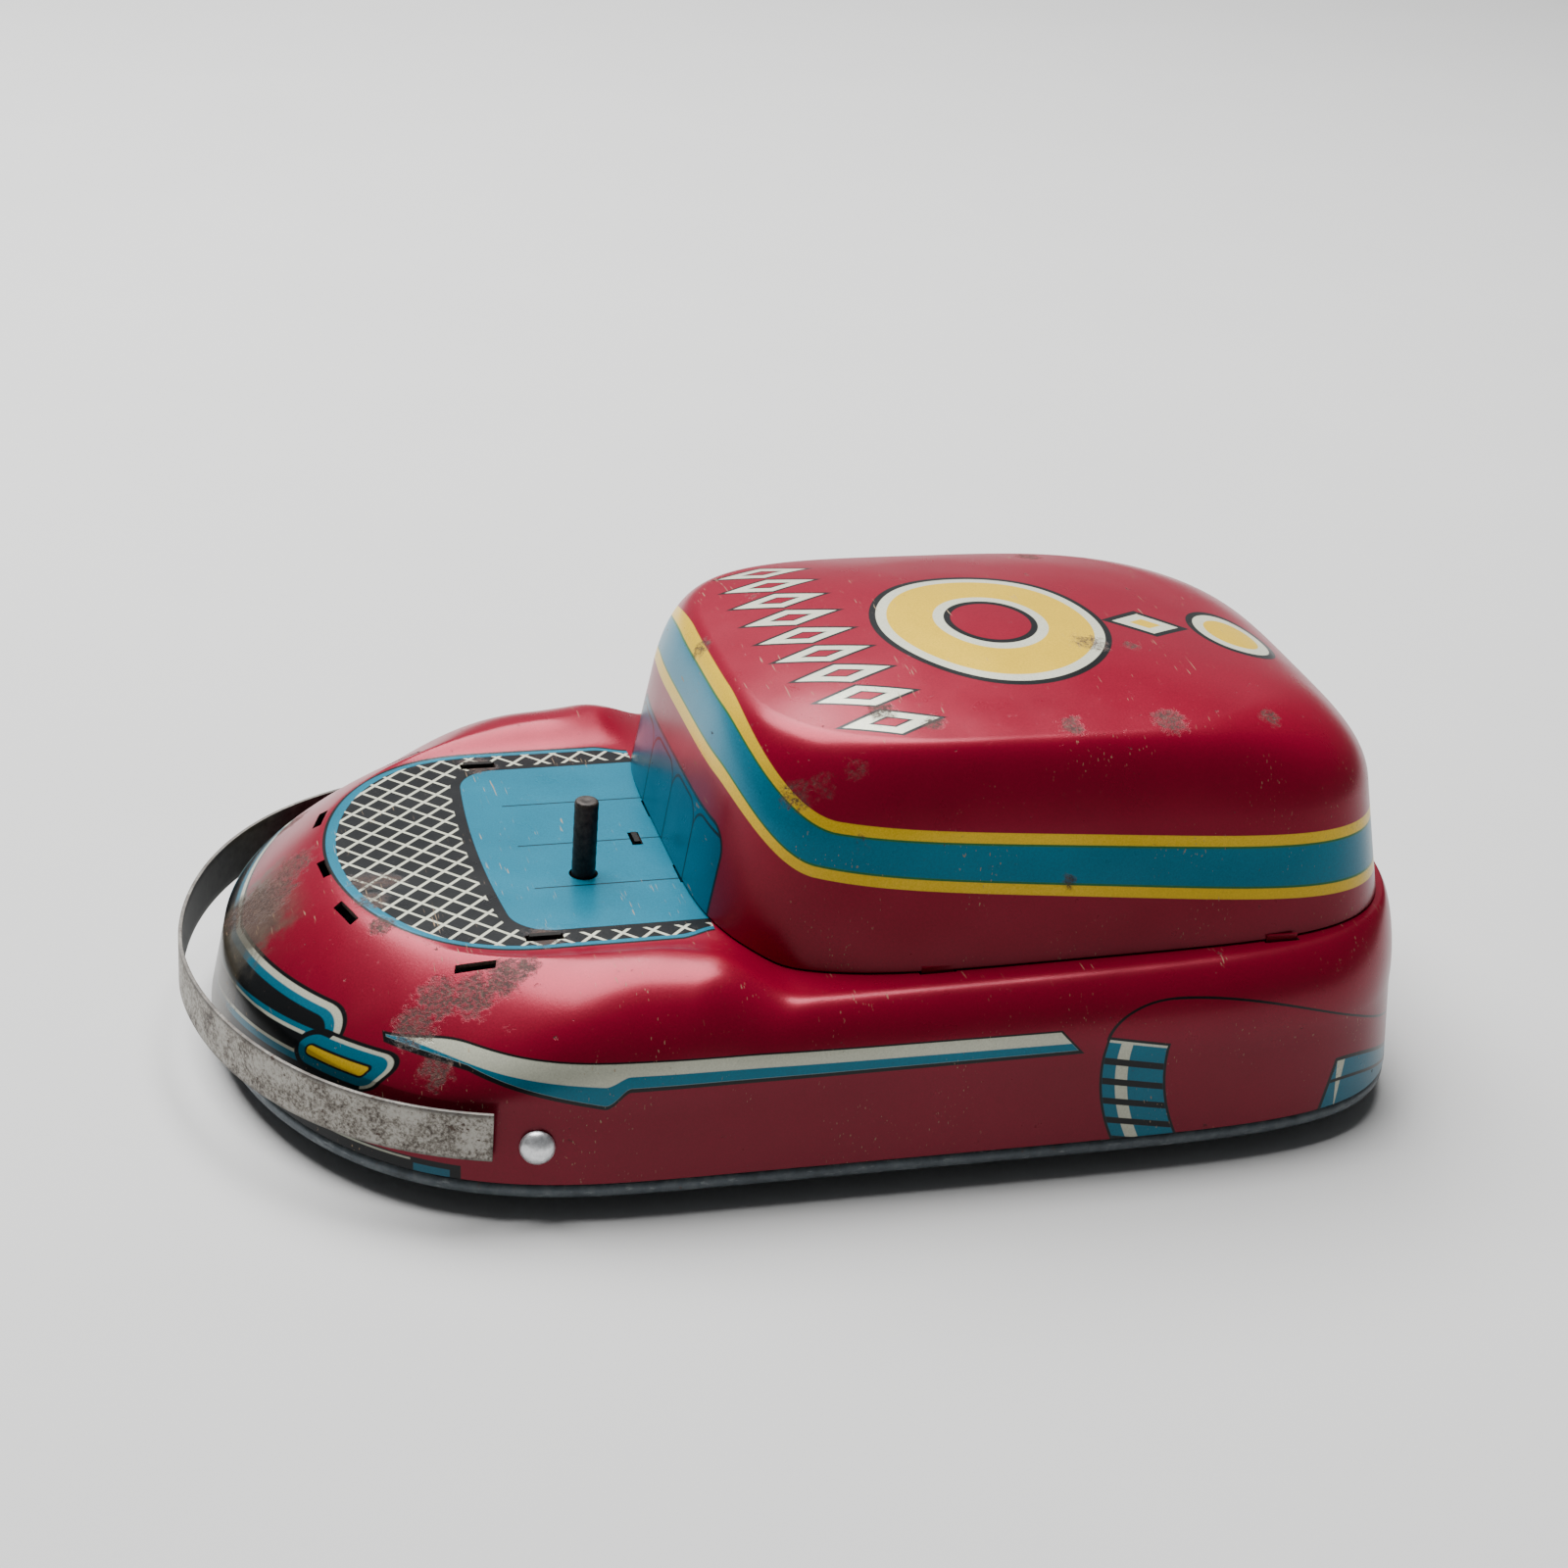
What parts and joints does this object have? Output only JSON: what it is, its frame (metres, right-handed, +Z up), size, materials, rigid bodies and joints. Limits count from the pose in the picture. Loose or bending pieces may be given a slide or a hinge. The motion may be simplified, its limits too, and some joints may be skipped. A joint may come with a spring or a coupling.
{
  "type": "tinplate toy car with geared bonnet spindle",
  "caption": "Pressed tin toy car with a saloon cab, a sprung strip bumper and a spindle through the bonnet geared to the front wheels.",
  "frame": {"origin": "On the ground under the middle of the car: bottom centre of its bounding box, bumper and wheels included.", "axes": "+X runs back from the bumper to the tail, +Y to the car's right, +Z up. The nose points along -X."},
  "size_m": [0.154, 0.0908, 0.0554],
  "materials": {
    "body_lacquer": "semi-gloss crimson lithographed lacquer on tin, worn and scratched",
    "cab_lacquer": "semi-gloss crimson lithographed lacquer on tin with a coloured band",
    "base_paint": "worn grey-blue paint",
    "bumper_tinplate": "dull tin coating mottled with rust",
    "rivet_aluminium": "satin domed head",
    "dark_steel": "blackened, lightly rusted steel",
    "zinc_sheet": "dull zinc-plated sheet",
    "gear_brass": "dull brass",
    "wheel_tin": "plain pressed tin",
    "tyre_rubber": "matt black rubber"
  },
  "bodies": {
    "chassis": {"body_shell": "body_lacquer", "cab_shell": "cab_lacquer", "base_plate": "base_paint", "bumper_strip": "bumper_tinplate", "rivet_left": "rivet_aluminium", "rivet_right": "rivet_aluminium", "gear_frame": "zinc_sheet", "rear_bracket": "zinc_sheet", "bracket_rivet_front": "dark_steel", "bracket_rivet_back": "dark_steel"},
    "spindle_group": {"spindle": "dark_steel", "spindle_collar": "gear_brass", "spindle_pinion": "gear_brass"},
    "countershaft_group": {"countershaft": "dark_steel", "crown_gear": "gear_brass", "counter_pinion": "gear_brass"},
    "drive_wheels": {"drive_axle": "dark_steel", "axle_gear": "gear_brass", "drive_wheel_left": "wheel_tin", "drive_wheel_right": "wheel_tin", "drive_tyre_left": "tyre_rubber", "drive_tyre_right": "tyre_rubber", "drive_spacer_left": "wheel_tin", "drive_spacer_right": "wheel_tin"},
    "rear_wheels": {"rear_axle": "dark_steel", "rear_wheel_left": "wheel_tin", "rear_wheel_right": "wheel_tin", "rear_tyre_left": "tyre_rubber", "rear_tyre_right": "tyre_rubber", "rear_spacer_left": "wheel_tin", "rear_spacer_right": "wheel_tin"}
  },
  "joints": [
    {"name": "drive_axle_spin", "type": "hinge", "parent": "chassis", "child": "drive_wheels", "pos_m": [-0.03679, 0, 0.0095], "axis": [0, 1, 0], "continuous": true},
    {"name": "countershaft_spin", "type": "hinge", "parent": "chassis", "child": "countershaft_group", "pos_m": [-0.0282, 0, 0.012], "axis": [0, 1, 0], "continuous": true},
    {"name": "spindle_spin", "type": "hinge", "parent": "chassis", "child": "spindle_group", "pos_m": [-0.0282, -0.0082, 0], "axis": [0, 0, 1], "continuous": true},
    {"name": "rear_axle_spin", "type": "hinge", "parent": "chassis", "child": "rear_wheels", "pos_m": [0.045, 0, 0.0095], "axis": [0, 1, 0], "continuous": true}
  ],
  "couplings": [
    {"joint": "countershaft_spin", "follows": "drive_axle_spin", "ratio": -1.75},
    {"joint": "spindle_spin", "follows": "drive_axle_spin", "ratio": 3.5}
  ]
}
